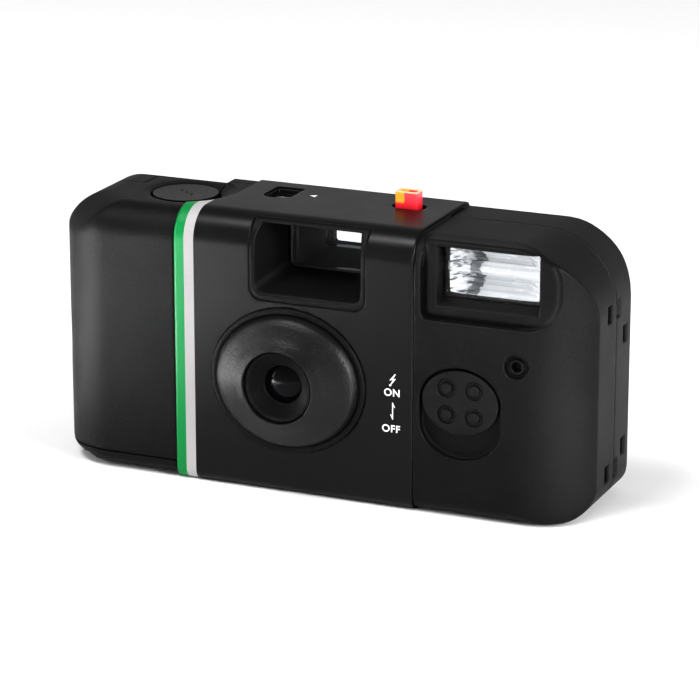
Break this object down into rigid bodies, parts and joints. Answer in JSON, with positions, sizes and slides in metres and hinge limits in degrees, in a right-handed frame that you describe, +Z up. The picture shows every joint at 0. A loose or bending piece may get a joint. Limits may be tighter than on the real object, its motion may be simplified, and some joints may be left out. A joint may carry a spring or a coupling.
{
  "type": "single-use film camera",
  "caption": "Flat black single-use film camera with rounded ends, raised lens mound, finder window, built-in flash, sliding flash switch and a ready light that rises out of the top.",
  "frame": {"origin": "on the plane the camera stands on, under the middle of the box round the whole camera with its ready light raised", "axes": "+X runs along the camera towards the flash end, +Y from the lens towards the back, +Z up out of the top"},
  "size_m": [0.11, 0.034, 0.0572],
  "materials": {
    "cover_black": "moulded black plastic with a fine grain",
    "sleeve_print": "satin black printed film with a green and a pale stripe",
    "inner_black": "dull black moulding",
    "bezel_black": "moulded black plastic with a fine grain",
    "lens_clear": "clear moulded lens",
    "dark_steel": "thin dark sheet steel",
    "spring_steel": "bright spring wire and strip",
    "white_plastic": "pale moulded plastic",
    "film_brown": "glossy film",
    "reflector_metal": "bright rolled sheet",
    "board_brown": "laminate",
    "capacitor_black": "shrink-wrapped can",
    "copper_brown": "lacquered copper winding",
    "guide_red": "translucent red plastic",
    "contact_brass": "stamped contact strip",
    "battery_steel": "plain wrapped cell"
  },
  "bodies": {
    "camera": {"front_cover": "cover_black", "rear_cover": "cover_black", "printed_sleeve": "sleeve_print", "chassis": "inner_black", "lens_bezel": "bezel_black", "lens_retainer": "inner_black", "taking_lens": "lens_clear", "lens_holder": "inner_black", "aperture_plate": "dark_steel", "finder_front_lens": "lens_clear", "finder_rear_lens": "lens_clear", "counter_window": "lens_clear", "cartridge_shell": "dark_steel", "film_strip": "film_brown", "flash_window": "lens_clear", "flash_reflector": "reflector_metal", "flash_tube": "lens_clear", "circuit_board": "board_brown", "flash_capacitor": "capacitor_black", "flash_transformer": "copper_brown", "trigger_coil": "copper_brown", "ready_lamp": "lens_clear", "sync_contact": "contact_brass", "battery": "battery_steel", "battery_contact_plus": "spring_steel", "battery_contact_minus": "spring_steel", "blade_spring": "spring_steel", "hammer_spring": "spring_steel", "button_spring": "spring_steel"},
    "shutter_button": {"shutter_button": "bezel_black"},
    "release_lever": {"release_lever": "white_plastic"},
    "shutter_hammer": {"shutter_hammer": "white_plastic"},
    "shutter_blade": {"shutter_blade": "dark_steel"},
    "wind_lock": {"wind_lock_lever": "white_plastic"},
    "flash_slider": {"flash_switch": "bezel_black", "switch_arm": "white_plastic", "switch_contact": "contact_brass", "light_guide": "guide_red"},
    "thumb_wheel": {"thumb_wheel": "bezel_black", "cartridge_spool": "inner_black"},
    "sprocket": {"sprocket": "white_plastic"},
    "supply": {"film_roll": "film_brown", "supply_spool": "inner_black"},
    "counter": {"counter_disc": "white_plastic"},
    "door": {"cartridge_door": "cover_black"}
  },
  "joints": [
    {"name": "button_press", "type": "slide", "parent": "camera", "child": "shutter_button", "axis": [0, 0, -1], "range_m": [0, 0.0011], "stiffness_N_per_m": 600, "springref_m": -0.0015, "deforming": ["button_spring"]},
    {"name": "lever_tilt", "type": "hinge", "parent": "camera", "child": "release_lever", "pos_m": [-0.0208, -0.0042, 0.0457], "axis": [0, -1, 0], "range_deg": [0, 20]},
    {"name": "hammer_swing", "type": "hinge", "parent": "camera", "child": "shutter_hammer", "pos_m": [-0.0138, -0.0018, 0.0452], "axis": [0, 0, -1], "range_deg": [0, 28], "stiffness_Nm_per_rad": 0.0006, "springref_deg": -28.65},
    {"name": "blade_swing", "type": "hinge", "parent": "camera", "child": "shutter_blade", "pos_m": [-0.01, -0.0076, 0.0283], "axis": [0, -1, 0], "range_deg": [0, 36], "stiffness_Nm_per_rad": 0.0003, "springref_deg": -28.65},
    {"name": "lock_swing", "type": "hinge", "parent": "camera", "child": "wind_lock", "pos_m": [-0.0229, 0.0014, 0.0465], "axis": [0, 0, -1], "range_deg": [0, 8], "stiffness_Nm_per_rad": 0.0004, "springref_deg": -20.05},
    {"name": "flash_slide", "type": "slide", "parent": "camera", "child": "flash_slider", "axis": [0, 0, -1], "range_m": [0, 0.0044]},
    {"name": "wheel_turn", "type": "hinge", "parent": "camera", "child": "thumb_wheel", "pos_m": [-0.0392, 0.0031, 0.0471], "axis": [0, 0, 1], "continuous": true},
    {"name": "sprocket_turn", "type": "hinge", "parent": "camera", "child": "sprocket", "pos_m": [-0.019, 0.00805, 0.04], "axis": [0, 0, 1], "continuous": true},
    {"name": "supply_turn", "type": "hinge", "parent": "camera", "child": "supply", "pos_m": [0.03, 0.00505, 0.0228], "axis": [0, 0, 1], "continuous": true},
    {"name": "counter_turn", "type": "hinge", "parent": "camera", "child": "counter", "pos_m": [-0.0152, 0.00425, 0.0513], "axis": [0, 0, 1], "continuous": true},
    {"name": "door_hinge", "type": "hinge", "parent": "camera", "child": "door", "pos_m": [-0.0398, 0.0142, 0.001], "axis": [1, 0, 0], "range_deg": [0, 95]}
  ],
  "couplings": [
    {"joint": "lever_tilt", "follows": "button_press", "rad_per_m": 300},
    {"joint": "sprocket_turn", "follows": "wheel_turn", "ratio": 1.25},
    {"joint": "supply_turn", "follows": "wheel_turn", "ratio": 1},
    {"joint": "counter_turn", "follows": "wheel_turn", "ratio": -0.04464}
  ]
}
